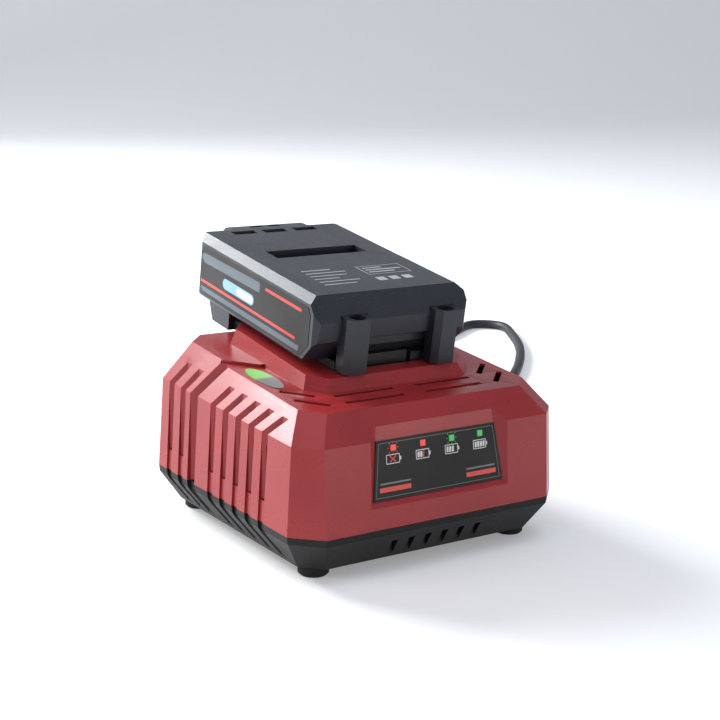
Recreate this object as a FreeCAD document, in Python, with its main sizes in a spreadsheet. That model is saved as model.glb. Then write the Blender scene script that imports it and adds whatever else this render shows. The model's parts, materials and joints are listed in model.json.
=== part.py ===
import FreeCAD, Part
import math
import os
import re
import Sketcher

# Battery charger with a slide-on battery pack docked upside down on its inclined top.
# Millimetres. X runs right along the front, Y to the back, Z up. The origin is the
# middle of the footprint on the surface that the rubber feet stand on.

Vector = FreeCAD.Vector
Rotation = FreeCAD.Rotation
Placement = FreeCAD.Placement

doc = FreeCAD.newDocument("Charger")
nodes = {}

# Driving dimensions
sizes = {
    # housing
    "width": 140.0, "depth": 141.0, "cornerCut": 11.7, "wall": 2.6,
    "partingHeight": 21.0, "shoulderFront": 58.4, "shoulderTilt": 2.03,
    "topFront": 70.4, "topTilt": 5.21, "sideTaper": 2.0, "frontTaper": 2.9,
    "sideBevel": 9.8, "frontBevel": 11.8, "shoulderCorner": 9.7, "topCorner": 8.6,
    "topStep": 1.4, "stepOuterY": 18.7, "stepRun": 12.5,
    # base
    "footHeight": 4.7, "bandHeight": 3.1, "baseInset": 8.8, "bandInset": 0.4, "baseCorner": 8.6,
    "footInX": 17.5, "footInY": 19.0, "footDiameter": 13.4, "footPlug": 1.4, "ventWidth": 3.0, "ventPitch": 8.8, "ventCount": 6, "ventBehind": 5.2,
    "postInX": 30.0, "postInY": 20.0, "postDiameter": 8.0, "screwDiameter": 3.0,
    # side slots
    "slotWidth": 4.9, "slotPitch": 11.3, "slotFirst": -37.0, "rearSlotFirst": 36.9,
    "slotDepth": 5.0, "slotFoot": 30.3, "slotReach": 5.6, "slotSlant": 7.3, "finWall": 1.8,
    "grooveY": 26.4, "grooveWidth": 7.2, "grooveDepth": 4.2, "channelDepth": 0.8, "baseChannel": 1.1,
    "slitWidth": 1.8, "slitTop": 54.0,
    # top vents
    "rowNear": 22.3, "rowFar": 31.2, "rowGap": 11.2, "rowLength": 30.2, "topVentWidth": 2.6,
    "cornerVentX": 49.2, "cornerVentNear": 27.1, "cornerVentFar": 39.3, "cornerVentHalf": 7.8,
    # front recess and label
    "labelLean": 8.45, "labelFoot": 32.5, "labelBehind": 2.8, "labelTall": 25.2, "labelLow": 34.0,
    "labelHigh": 30.6, "labelThick": 0.5, "recessTall": 36.0, "recessFlare": 6.0,
    "lensPitch": 15.2, "lensRise": 21.6, "lensSide": 2.6, "lensFit": 0.2, "ledPostX": 28.5,
    # dock
    "dockTilt": 8.14, "dockY": -33.0, "dockZ": 77.8, "dockWidth": 83.0, "dockLength": 77.0,
    "dockCorner": 7.6, "dockSpread": 5.5, "dockBuried": 66.0, "lipHalf": 27.2, "lipThick": 3.0,
    "pocketHalf": 31.0, "pocketFloor": 8.6, "pocketStart": 7.6, "tubWall": 2.4,
    # battery
    "packHalf": 40.6, "packTop": 33.6, "packParting": 23.4, "packFloor": 3.3, "packWall": 2.2,
    "packBevel": 3.9, "packBevelDrop": 3.1, "bossPitch": 46.7, "bossOffset": 2.6, "bossWidth": 8.2,
    "bossTop": 25.4, "labelSheet": 0.16, "neckFit": 0.3, "neckStart": 8.0, "neckEnd": 91.0, "flangeFit": 0.4,
    "channelHalf": 14.5, "channelTop": 4.8, "channelEnd": 47.0,
    "cellDiameter": 18.4, "cellLength": 65.0, "cellPitch": 19.6, "cellFirst": 24.0, "cellHeight": 22.0,
    "latchHalf": 11.0, "latchFit": 0.4, "springDiameter": 5.0, "springTop": 7.0, "springLength": 9.5,
    "springX": 6.0, "springV": 104.0,
    # electronics
    "boardHeight": 11.0, "boardThick": 1.6, "boardHalfX": 46.0, "boardHalfY": 42.0,
    # cord
    "cordDiameter": 6.4, "cordX": 34.0, "cordGrip": 0.05, "cordHole": 4.6,
}

sheet = doc.addObject("Spreadsheet::Sheet", "Sizes")
for row, (alias, number) in enumerate(sizes.items(), start=1):
    sheet.set("A%d" % row, alias)
    sheet.set("B%d" % row, repr(number))
    sheet.setAlias("B%d" % row, alias)
doc.recompute()


def named(text):
    """Turn the plain words of a formula into references to the sheet."""
    return re.sub(r"[a-zA-Z]\w*", lambda word: "Sizes." + word.group(0) if word.group(0) in sizes else word.group(0),
                  str(text))


def value(text):
    return float(sheet.evalExpression(named(text)))


def bind(thing, **formulas):
    for path, text in formulas.items():
        thing.setExpression(path.replace("__", "."), named(text))


def place(thing, x=0, y=0, z=0, tilt=None):
    """Place a piece by formulas; tilt turns it about the X axis, in degrees."""
    if tilt is not None:
        thing.Placement = Placement(thing.Placement.Base, Rotation(Vector(1, 0, 0), 5))
        thing.setExpression("Placement.Rotation.Angle", named("(%s) * 1 deg" % tilt))
    bind(thing, Placement__Base__x=x, Placement__Base__y=y, Placement__Base__z=z)
    return thing


def docked(thing):
    """Put a piece of the battery, drawn along the dock's incline, where the dock holds it."""
    return place(thing, 0, "dockY", "dockZ", "dockTilt")


def node(label, thing, on_dock=False):
    thing.Label = label
    if on_dock:
        docked(thing)
    nodes[label] = thing
    return thing


# Sketches
planes = {"top": "XY_Plane", "front": "XZ_Plane", "side": "YZ_Plane"}


def fill_sketch(sketch, loops):
    """Draw closed loops: lists of (x, y) formulas, or ("circle", x, y, radius)."""
    for loop in loops:
        first = sketch.GeometryCount
        if loop[0] == "circle":
            x, y, radius = loop[1:]
            sketch.addGeometry(Part.Circle(Vector(value(x), value(y), 0), Vector(0, 0, 1), value(radius)), False)
            for kind, text, where in (("DistanceX", x, 3), ("DistanceY", y, 3)):
                mark = sketch.addConstraint(Sketcher.Constraint(kind, -1, 1, first, where, value(text)))
                sketch.setExpression("Constraints[%d]" % mark, named(text))
            mark = sketch.addConstraint(Sketcher.Constraint("Radius", first, value(radius)))
            sketch.setExpression("Constraints[%d]" % mark, named(radius))
            continue
        corners = [Vector(value(x), value(y), 0) for x, y in loop]
        count = len(corners)
        for i in range(count):
            sketch.addGeometry(Part.LineSegment(corners[i], corners[(i + 1) % count]), False)
        for i in range(count):
            after = (i + 1) % count
            sketch.addConstraint(Sketcher.Constraint("Coincident", first + i, 2, first + after, 1))
            for kind, text, number in (("DistanceX", loop[i][0], corners[i].x), ("DistanceY", loop[i][1], corners[i].y)):
                mark = sketch.addConstraint(Sketcher.Constraint(kind, -1, 1, first + i, 1, number))
                sketch.setExpression("Constraints[%d]" % mark, named(text))


def offset_plane(sketch, y=None, z=None, tilt=None):
    if tilt is not None:
        sketch.AttachmentOffset = Placement(Vector(0, 0, 0), Rotation(Vector(1, 0, 0), 5))
        sketch.setExpression("AttachmentOffset.Rotation.Angle", named("(%s) * 1 deg" % tilt))
    if y is not None:
        sketch.setExpression("AttachmentOffset.Base.y", named(y))
    if z is not None:
        sketch.setExpression("AttachmentOffset.Base.z", named(z))


def body_sketch(body, name, plane, loops, y=None, z=None, tilt=None):
    sketch = body.newObject("Sketcher::SketchObject", name)
    base = [part for part in body.Origin.OriginFeatures if part.Role == planes[plane]][0]
    sketch.AttachmentSupport = [(base, "")]
    sketch.MapMode = "FlatFace"
    offset_plane(sketch, y, z, tilt)
    fill_sketch(sketch, loops)
    return sketch


def new_body(name):
    return doc.addObject("PartDesign::Body", name)


def loft(body, sketches, ruled=True, subtract=False):
    kind = "PartDesign::SubtractiveLoft" if subtract else "PartDesign::AdditiveLoft"
    feature = body.newObject(kind, sketches[0].Name + "Loft")
    feature.Profile = sketches[0]
    feature.Sections = sketches[1:]
    feature.Ruled = ruled
    doc.recompute()
    return feature


# Part primitives and booleans
def box(name, x, y, z, long, deep, tall, centred=True):
    """A box by formulas; centred in X and Y unless told otherwise, standing on z."""
    thing = doc.addObject("Part::Box", name)
    bind(thing, Length=long, Width=deep, Height=tall)
    if centred:
        return place(thing, "%s - (%s) / 2" % (x, long), "%s - (%s) / 2" % (y, deep), z)
    return place(thing, x, y, z)


def rod(name, x, y, z, radius, tall, axis="Z"):
    thing = doc.addObject("Part::Cylinder", name)
    bind(thing, Radius=radius, Height=tall)
    turn = {"Z": Rotation(), "Y": Rotation(Vector(1, 0, 0), -90), "X": Rotation(Vector(0, 1, 0), 90)}[axis]
    thing.Placement = Placement(Vector(0, 0, 0), turn)
    return place(thing, x, y, z)


def prism(name, loops, bottom, tall):
    """Upright prism over plan outlines."""
    sketch = doc.addObject("Sketcher::SketchObject", name + "Plan")
    fill_sketch(sketch, loops)
    bind(sketch, Placement__Base__z=bottom)
    solid = doc.addObject("Part::Extrusion", name)
    solid.Base = sketch
    solid.DirMode = "Custom"
    solid.Dir = Vector(0, 0, 1)
    solid.Solid = True
    bind(solid, LengthFwd=tall)
    return solid


def side_prism(name, loops, half, start=None):
    """Prism of a side profile, (y, z) outlines, across X and centred unless a start is given."""
    sketch = doc.addObject("Sketcher::SketchObject", name + "Profile")
    sketch.Placement = Placement(Vector(0, 0, 0), Rotation(Vector(1, 1, 1), 120))
    fill_sketch(sketch, loops)
    bind(sketch, Placement__Base__x="-(%s)" % half if start is None else start)
    solid = doc.addObject("Part::Extrusion", name)
    solid.Base = sketch
    solid.DirMode = "Custom"
    solid.Dir = Vector(1, 0, 0)
    solid.Solid = True
    bind(solid, LengthFwd="2 * (%s)" % half)
    return solid


def fuse(name, things):
    thing = doc.addObject("Part::MultiFuse", name)
    thing.Shapes = things
    return thing


def group(name, things):
    thing = doc.addObject("Part::Compound", name)
    thing.Links = things
    return thing


def cut(name, base, tools):
    thing = doc.addObject("Part::Cut", name)
    thing.Base = base
    thing.Tool = tools[0] if len(tools) == 1 else fuse(name + "Tools", tools)
    return thing


def common(name, things):
    thing = doc.addObject("Part::MultiCommon", name)
    thing.Shapes = things
    return thing


def mirrored(name, thing):
    copy = doc.addObject("Part::Mirroring", name)
    copy.Source = thing
    copy.Normal = Vector(1, 0, 0)
    copy.Base = Vector(0, 0, 0)
    return copy


def octagon(halfX, halfY, corner, y_of=lambda y: y):
    """Rectangle with cut corners, anticlockwise from the front left."""
    sides = [("-(%s) + %s", "-(%s)"), ("%s - (%s)", "-(%s)")]
    points = [("-(%s) + %s" % (halfX, corner), "-(%s)" % halfY), ("%s - (%s)" % (halfX, corner), "-(%s)" % halfY),
              (halfX, "-(%s) + %s" % (halfY, corner)), (halfX, "%s - (%s)" % (halfY, corner)),
              ("%s - (%s)" % (halfX, corner), halfY), ("-(%s) + %s" % (halfX, corner), halfY),
              ("-(%s)" % halfX, "%s - (%s)" % (halfY, corner)), ("-(%s)" % halfX, "-(%s) + %s" % (halfY, corner))]
    return [(x, y_of(y)) for x, y in points]


corners = ((-1, -1), (1, -1), (1, 1), (-1, 1))


def four_rods(name, x, y, z, radius, tall):
    """Upright rods at the same distances from the middle in each quarter of the plan."""
    return [rod("%s%d" % (name, i), "%d * (%s)" % (sx, x), "%d * (%s)" % (sy, y), z, radius, tall)
            for i, (sx, sy) in enumerate(corners)]


# Housing forms
def cover_form(name, inset, bottom="partingHeight"):
    """The top cover's outer form moved inwards by an inset: wall, shoulder, bevel and inclined top."""
    body = new_body(name)
    corner = "0.586 * (%s)" % inset
    foot = octagon("width / 2 - (%s)" % inset, "depth / 2 - (%s)" % inset, "cornerCut - " + corner)
    a = body_sketch(body, name + "Foot", "top", [foot], z=bottom)
    tilted = lambda tilt: (lambda y: "(%s + depth / 2) / cos(%s * 1 deg)" % (y, tilt))
    shoulder = octagon("width / 2 - sideTaper - (%s)" % inset, "depth / 2 - frontTaper - (%s)" % inset,
                       "shoulderCorner - " + corner, tilted("shoulderTilt"))
    b = body_sketch(body, name + "Shoulder", "top", [shoulder], "-depth / 2",
                    "shoulderFront - 0.35 * (%s)" % inset, "shoulderTilt")
    top = octagon("width / 2 - sideTaper - sideBevel - 0.48 * (%s)" % inset,
                  "depth / 2 - frontTaper - frontBevel - 0.48 * (%s)" % inset,
                  "topCorner - " + corner, tilted("topTilt"))
    c = body_sketch(body, name + "Top", "top", [top], "-depth / 2", "topFront - (%s)" % inset, "topTilt")
    loft(body, [a, b, c])
    return body


def base_form(name, inset, low="footHeight"):
    """The base's outer form moved inwards: sloped skirt under a short upright band."""
    body = new_body(name)
    corner = "0.586 * (%s)" % inset
    sections = []
    for part, half, cutoff, height in (("Low", "baseInset", "baseCorner", low),
                                       ("Band", "bandInset", "cornerCut - bandInset", "partingHeight - bandHeight"),
                                       ("Rim", "0", "cornerCut", "partingHeight")):
        outline = octagon("width / 2 - %s - (%s)" % (half, inset), "depth / 2 - %s - (%s)" % (half, inset),
                          "%s - %s" % (cutoff, corner))
        sections.append(body_sketch(body, name + part, "top", [outline], z=height))
    loft(body, sections)
    return body


def strip(y, half, reach=None):
    """Plan outline of a side slot: straight through the wall, then slanting forwards over the bevel."""
    shoulder = "-(width / 2 - sideTaper)"
    reach = reach or "slotReach"
    slant = "slotSlant" if reach == "slotReach" else "slotSlant * (%s) / slotReach" % reach
    y, half = "(%s)" % y, "(%s)" % half
    return [("-(width / 2 + 5)", "%s + %s" % (y, half)), ("-(width / 2 + 5)", "%s - %s" % (y, half)),
            (shoulder, "%s - %s" % (y, half)),
            ("%s + %s" % (shoulder, reach), "%s - %s - %s" % (y, half, slant)),
            ("%s + %s" % (shoulder, reach), "%s + %s - %s" % (y, half, slant)),
            (shoulder, "%s + %s" % (y, half))]


slot_rows = ["slotFirst + %d * slotPitch" % i for i in range(5)] + ["rearSlotFirst + %d * slotPitch" % i for i in range(2)]


def both_sides(name, thing):
    return [thing, mirrored(name + "Right", thing)]


def platform_form(name, inset):
    """Dock platform: from a plan inside the cover up to the inclined dock, moved inwards by an inset."""
    body = new_body(name)
    low = octagon("dockWidth / 2 + dockSpread - (%s)" % inset, "dockLength / 2 + dockSpread - (%s)" % inset,
                  "dockCorner - 0.586 * (%s)" % inset)
    low = [(x, "%s + dockY + dockLength / 2" % y) for x, y in low]
    a = body_sketch(body, name + "Low", "top", [low], z="dockBuried - (%s)" % inset)
    high = octagon("dockWidth / 2 - (%s)" % inset, "dockLength / 2 - (%s)" % inset, "dockCorner - 0.586 * (%s)" % inset)
    high = [(x, "%s + dockLength / 2" % y) for x, y in high]
    b = body_sketch(body, name + "High", "top", [high], "dockY", "dockZ - (%s)" % inset, "dockTilt")
    loft(body, [a, b])
    return body


def make_housing():
    outer = cover_form("CoverOuter", "0")
    cavity = cover_form("CoverCavity", "wall")
    slots = prism("SlotPlans", [strip(y, "slotWidth / 2") for y in slot_rows], "slotFoot", "90")
    channels = prism("ChannelPlans", [strip(y, "slotWidth / 2") for y in slot_rows], "0", "slotFoot")
    groove = prism("GroovePlan", [strip("grooveY", "grooveWidth / 2", "sideBevel + 1")], "0", "120")
    slot_core = cover_form("SlotCore", "slotDepth", "partingHeight - 2")
    groove_core = cover_form("GrooveCore", "grooveDepth", "partingHeight - 2")
    channel_core = cover_form("ChannelCore", "channelDepth", "partingHeight - 2")
    slot_cut = cut("SlotCut", fuse("SlotBoth", both_sides("Slots", slots)), [slot_core])
    groove_cut = cut("GrooveCut", fuse("GrooveBoth", both_sides("Groove", groove)), [groove_core])
    channel_cut = cut("ChannelCut", fuse("ChannelBoth", both_sides("Channels", channels)), [channel_core])
    # The wall runs round each slot and the groove inside the cavity
    housing = prism("SlotHousing", [strip(y, "slotWidth / 2 + finWall", "slotReach + finWall") for y in slot_rows],
                    "slotFoot - finWall", "90")
    wide = prism("GrooveHousing", [strip("grooveY", "grooveWidth / 2 + finWall", "sideBevel + 1 + finWall")],
                 "0", "120")
    housing_core = cover_form("HousingCore", "slotDepth + finWall", "partingHeight - 2")
    backing = cut("SlotBacking", fuse("BackingBoth", both_sides("Backing", housing) + both_sides("Wide", wide)),
                  [housing_core])
    tub = docked(side_prism("DockTub", [[("pocketStart - tubWall", "-pocketFloor - tubWall"),
                                         ("110", "-pocketFloor - tubWall"), ("110", "30"),
                                         ("pocketStart - tubWall", "30")]], "pocketHalf + tubWall"))
    post_at = ("width / 2 - postInX", "depth / 2 - postInY")
    posts = four_rods("CoverPost", *post_at, "0", "postDiameter / 2", "80")
    recess = label_recess("RecessBacking", "wall")
    bosses = [on_label(group("LedBosses", [rod("LedBoss%d" % i, "%d * ledPostX" % side, "lensRise - 3", "-8.4", "2.6",
                                                       "8.4") for i, side in enumerate((-1, 1))]))]
    hollow = cut("CoverHollow", cavity, [backing, tub, recess] + posts + bosses)

    platform = platform_form("Platform", "0")
    dock_hollow = cut("DockHollow", platform_form("PlatformCavity", "wall"), [tub] + posts)

    # Front half of the top lies a step lower, bounded by a diagonal
    plan = "(%s + depth / 2) / cos(topTilt * 1 deg)"
    edge = "-(width / 2 - sideTaper - sideBevel)"
    low_top = doc.addObject("Sketcher::SketchObject", "LowTopPlan")
    corners = [("-width / 2 - 5", "-depth / 2 - 5"), ("width / 2 + 5", "-depth / 2 - 5"),
               ("width / 2 + 5", "stepOuterY"), ("-(%s)" % edge, "stepOuterY"),
               ("-(%s + stepRun)" % edge, "stepOuterY - stepRun"), ("%s + stepRun" % edge, "stepOuterY - stepRun"),
               (edge, "stepOuterY"), ("-width / 2 - 5", "stepOuterY")]
    fill_sketch(low_top, [[(x, plan % y) for x, y in corners]])
    place(low_top, 0, "-depth / 2", "topFront - topStep", "topTilt")
    low_cut = doc.addObject("Part::Extrusion", "LowTopCut")
    low_cut.Base = low_top
    low_cut.DirMode = "Normal"
    low_cut.Solid = True
    bind(low_cut, LengthFwd="20")

    # Vent slots in the low front top
    vents = []
    for side in (-1, 1):
        for row in ("rowNear", "rowFar"):
            vents.append(box("TopVent%d%s" % (side + 1, row), "%d * (rowGap / 2 + rowLength / 2)" % side,
                             row + " - depth / 2", "60",
                             "rowLength", "topVentWidth", "40"))
    corner = []
    for row in ("cornerVentNear", "cornerVentFar"):
        outline = diagonal("-cornerVentX", row + " - depth / 2", "cornerVentHalf", "topVentWidth / 2")
        corner.append(prism(row + "Slot", [outline], "60", "40"))
    corner_vents = both_sides("CornerVents", fuse("CornerSlots", corner))
    # Narrow slits through the floors of the side slots
    slits = fuse("Slits", [box("Slit%d" % i, "-(width / 2 - 9)", y, "slotFoot + 6", "14", "slitWidth",
                               "slitTop - slotFoot - 6") for i, y in enumerate(slot_rows)])
    # Pocket for the battery's neck, with a lip along each side
    wide_pocket = docked(side_prism("PocketWide", [[("pocketStart", "-pocketFloor"), ("120", "-pocketFloor"),
                                                    ("120", "-lipThick"), ("pocketStart", "-lipThick")]], "pocketHalf"))
    slim_pocket = docked(side_prism("PocketSlim", [[("pocketStart", "-pocketFloor / 2"), ("120", "-pocketFloor / 2"),
                                                    ("120", "30"), ("pocketStart", "30")]], "lipHalf"))
    behind = docked(side_prism("PocketBehind", [[("dockLength + 1.5", "-pocketFloor"), ("120", "-pocketFloor"),
                                                 ("120", "30"), ("dockLength + 1.5", "30")]], "pocketHalf + 4"))
    pilots = four_rods("Pilot", *post_at, "0", "screwDiameter / 2", "40")
    cord_hole = rod("CordHole", "cordX", "depth / 2 - 12", "partingHeight", "cordHole", "30", "Y")
    windows = led_windows("LedWindow", "-6", "9", "lensSide + 2 * lensFit")
    lowered = cut("CoverLowered", outer, [low_cut])
    filled = fuse("CoverFilled", [lowered, platform])
    cover = cut("TopCover", filled, [hollow, dock_hollow, slot_cut, groove_cut, channel_cut, wide_pocket, slim_pocket, behind,
                                     label_recess("Recess", "0")] + vents + corner_vents
                + both_sides("SlitsBoth", slits) + pilots + [cord_hole] + windows)
    node("top_cover", cover)

    base_outer = base_form("BaseOuter", "0")
    base_cavity = base_form("BaseCavity", "wall", "footHeight + wall")
    base_channel = cut("BaseChannelCut", fuse("BaseChannels", both_sides("BaseStrip", prism(
        "BaseStrips", [strip(y, "slotWidth / 2") for y in slot_rows], "0", "partingHeight"))),
        [base_form("BaseChannelCore", "baseChannel")])
    base_groove = cut("BaseGrooveCut", fuse("BaseGroove", both_sides("BaseWide", prism(
        "BaseWideStrip", [strip("grooveY", "grooveWidth / 2")], "0", "partingHeight"))),
        [base_form("BaseGrooveCore", "baseChannel * 1.4")])
    board_at = ("boardHalfX - 5", "boardHalfY - 5")
    tubes = four_rods("BaseTube", *post_at, "footHeight", "postDiameter / 2 + 1.2", "partingHeight - footHeight")
    stand = four_rods("Standoff", *board_at, "footHeight", "3.2", "boardHeight - footHeight")
    shell = cut("BaseShell", base_outer, [cut("BaseHollow", base_cavity, tubes + stand)])
    sinks = four_rods("HeadSink", *post_at, "0", "3.6", "10")
    shanks = four_rods("ShankHole", *post_at, "0", "screwDiameter / 2 + 0.1", "30")
    seats = four_rods("FootSeat", "width / 2 - footInX", "depth / 2 - footInY", "footHeight",
                      "footDiameter / 2 - 1.5", "footPlug")
    holes = four_rods("StandHole", *board_at, "footHeight + wall", "1.3", "20")
    vent = [box("BaseVent%d" % i, "(%d - (ventCount - 1) / 2) * ventPitch" % i, "ventBehind - depth / 2", "4", "ventWidth", "4.6",
                "13") for i in range(6)]
    node("base_cover", cut("BaseCover", shell, [base_channel, base_groove, cord_hole] + sinks + shanks + seats
                           + holes + vent))


def diagonal(x, y, long, thin):
    """Outline of a slot lying at 45 degrees: half length and half width by formulas."""
    s = "0.7071 * "
    corners = []
    for a, b in ((-1, -1), (1, -1), (1, 1), (-1, 1)):
        corners.append(("%s + %s(%d * (%s) + %d * (%s))" % (x, s, a, long, b, thin),
                        "%s + %s(%d * (%s) + %d * (%s))" % (y, s, -a, long, b, thin)))
    return corners


def on_label(thing, out="0"):
    """Move a piece drawn on the front plane onto the leaning floor of the front recess."""
    return place(thing, 0, "labelBehind - depth / 2 - (%s) * cos(labelLean * 1 deg)" % out,
                 "labelFoot - (%s) * sin(labelLean * 1 deg)" % out, "90 - labelLean")


def label_recess(name, grow_by):
    """Shallow recess on a floor that leans back more than the wall does, with flared sides."""
    floor_y = "-(%s)" % grow_by
    low = [("-(labelLow + 0.4 + %s)" % grow_by, floor_y), ("labelLow + 0.4 + %s" % grow_by, floor_y),
           ("labelHigh - 0.8 + %s" % grow_by, "recessTall + %s" % grow_by),
           ("-(labelHigh - 0.8 + %s)" % grow_by, "recessTall + %s" % grow_by)]
    out = "recessFlare"
    high = [("-(labelLow + 0.4 + %s + %s)" % (grow_by, out), "%s - 1.45 * %s" % (floor_y, out)),
            ("labelLow + 0.4 + %s + %s" % (grow_by, out), "%s - 1.45 * %s" % (floor_y, out)),
            ("labelHigh - 0.8 + %s + 1.5 * %s" % (grow_by, out), "recessTall + %s" % grow_by),
            ("-(labelHigh - 0.8 + %s + 1.5 * %s)" % (grow_by, out), "recessTall + %s" % grow_by)]
    body = new_body(name)
    a = body_sketch(body, name + "Floor", "top", [low], z="-(%s)" % grow_by)
    b = body_sketch(body, name + "Mouth", "top", [high], z="%s - (%s)" % (out, grow_by))
    loft(body, [a, b])
    return on_label(body)


def led_windows(name, bottom, tall, side):
    tiles = []
    for i in range(4):
        tile = box("%s%d" % (name, i), "(%d - 1.5) * lensPitch" % i, "lensRise", bottom, side, side, tall)
        tiles.append(tile)
    return [on_label(group(name + "s", tiles))]


def turned(name, profile, x="0", y="0", z="0", axis="Z"):
    """Solid of revolution: profile points are (radius, height) along the axis."""
    body = new_body(name)
    body_sketch(body, name + "Profile", "front", [profile])
    sketch = body.Group[0]
    feature = body.newObject("PartDesign::Revolution", name + "Turn")
    feature.Profile = sketch
    feature.ReferenceAxis = (sketch, ["V_Axis"])
    feature.Angle = 360
    if axis == "Y":
        body.Placement = Placement(Vector(0, 0, 0), Rotation(Vector(1, 0, 0), -90))
    if axis == "-Y":
        body.Placement = Placement(Vector(0, 0, 0), Rotation(Vector(1, 0, 0), 90))
    return place(body, x, y, z)


def screw(name, x, y, z, head, shank, long, head_tall="2"):
    """Pan-head screw standing on z with its point upwards."""
    return turned(name, [("0", "0.8"), ("%s * 0.35" % head, "0.8"), ("%s * 0.35" % head, "0"),
                         ("%s - 0.5" % head, "0"), (head, "0.6"), (head, head_tall), (shank, head_tall),
                         (shank, "%s - 1.2" % long), ("0.4", long), ("0", long)], x, y, z)


def make_fittings():
    feet = []
    for i, (sx, sy) in enumerate(corners):
        feet.append(turned("Foot%d" % i, [("0", "0"), ("footDiameter / 2 - 0.9", "0"), ("footDiameter / 2", "0.9"),
                                          ("footDiameter / 2", "footHeight"),
                                          ("footDiameter / 2 - 1.6", "footHeight"),
                                          ("footDiameter / 2 - 1.6", "footHeight + footPlug"), ("0", "footHeight + footPlug")],
                           "%d * (width / 2 - footInX)" % sx, "%d * (depth / 2 - footInY)" % sy))
    node("rubber_feet", group("Feet", feet))
    screws = [screw("HousingScrew%d" % i, "%d * (width / 2 - postInX)" % sx, "%d * (depth / 2 - postInY)" % sy, "8", "3.2",
                    "screwDiameter / 2 - 0.06", "24") for i, (sx, sy) in enumerate(corners)]
    node("housing_screws", group("HousingScrews", screws))
    # Label sheet with four lenses, on the floor of the front recess
    sheet_outline = [("-labelLow", "0"), ("labelLow", "0"), ("labelHigh + 0.4", "labelTall"),
                     ("-(labelHigh + 0.4)", "labelTall")]
    plate = prism("LabelPlate", [sheet_outline], "0", "labelThick")
    holes = [box("LabelHole%d" % i, "(%d - 1.5) * lensPitch" % i, "lensRise", "-1", "lensSide + 2 * lensFit",
                 "lensSide + 2 * lensFit", "3") for i in range(4)]
    node("label_panel", on_label(cut("LabelPanel", plate, holes)))
    lenses = [box("Lens%d" % i, "(%d - 1.5) * lensPitch" % i, "lensRise", "-5", "lensSide", "lensSide", "5.8")
              for i in range(4)]
    node("indicator_lenses", on_label(group("Lenses", lenses)))
    leds = [box("Led%d" % i, "(%d - 1.5) * lensPitch" % i, "lensRise", "-8.4", "3.2", "3.2", "3.2")
            for i in range(4)]
    node("indicator_leds", on_label(group("Leds", leds)))
    board = prism("LedBoard", [[("-(ledPostX + 3.5)", "lensRise - 6"), ("ledPostX + 3.5", "lensRise - 6"),
                                ("ledPostX + 3.5", "lensRise + 5"), ("-(ledPostX + 3.5)", "lensRise + 5")],
                               ("circle", "-ledPostX", "lensRise - 3", "1.2"),
                               ("circle", "ledPostX", "lensRise - 3", "1.2")], "-9.8", "1.4")
    node("led_board", on_label(board))


def make_dock_contacts():
    block = cut("TerminalBlock", box("TerminalBlockFull", "0", "19", "-pocketFloor", "27", "16", "13"),
                [box("TerminalSlot%d" % i, "(%d - 2) * 5" % i, "26", "-4.2", "1", "6", "7.6") for i in range(5)])
    node("dock_terminal_block", block, True)
    blades = [box("Blade%d" % i, "(%d - 2) * 5" % i, "30", "-4", "0.8", "13.6", "7") for i in range(5)]
    node("contact_blades", group("Blades", blades), True)


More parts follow.
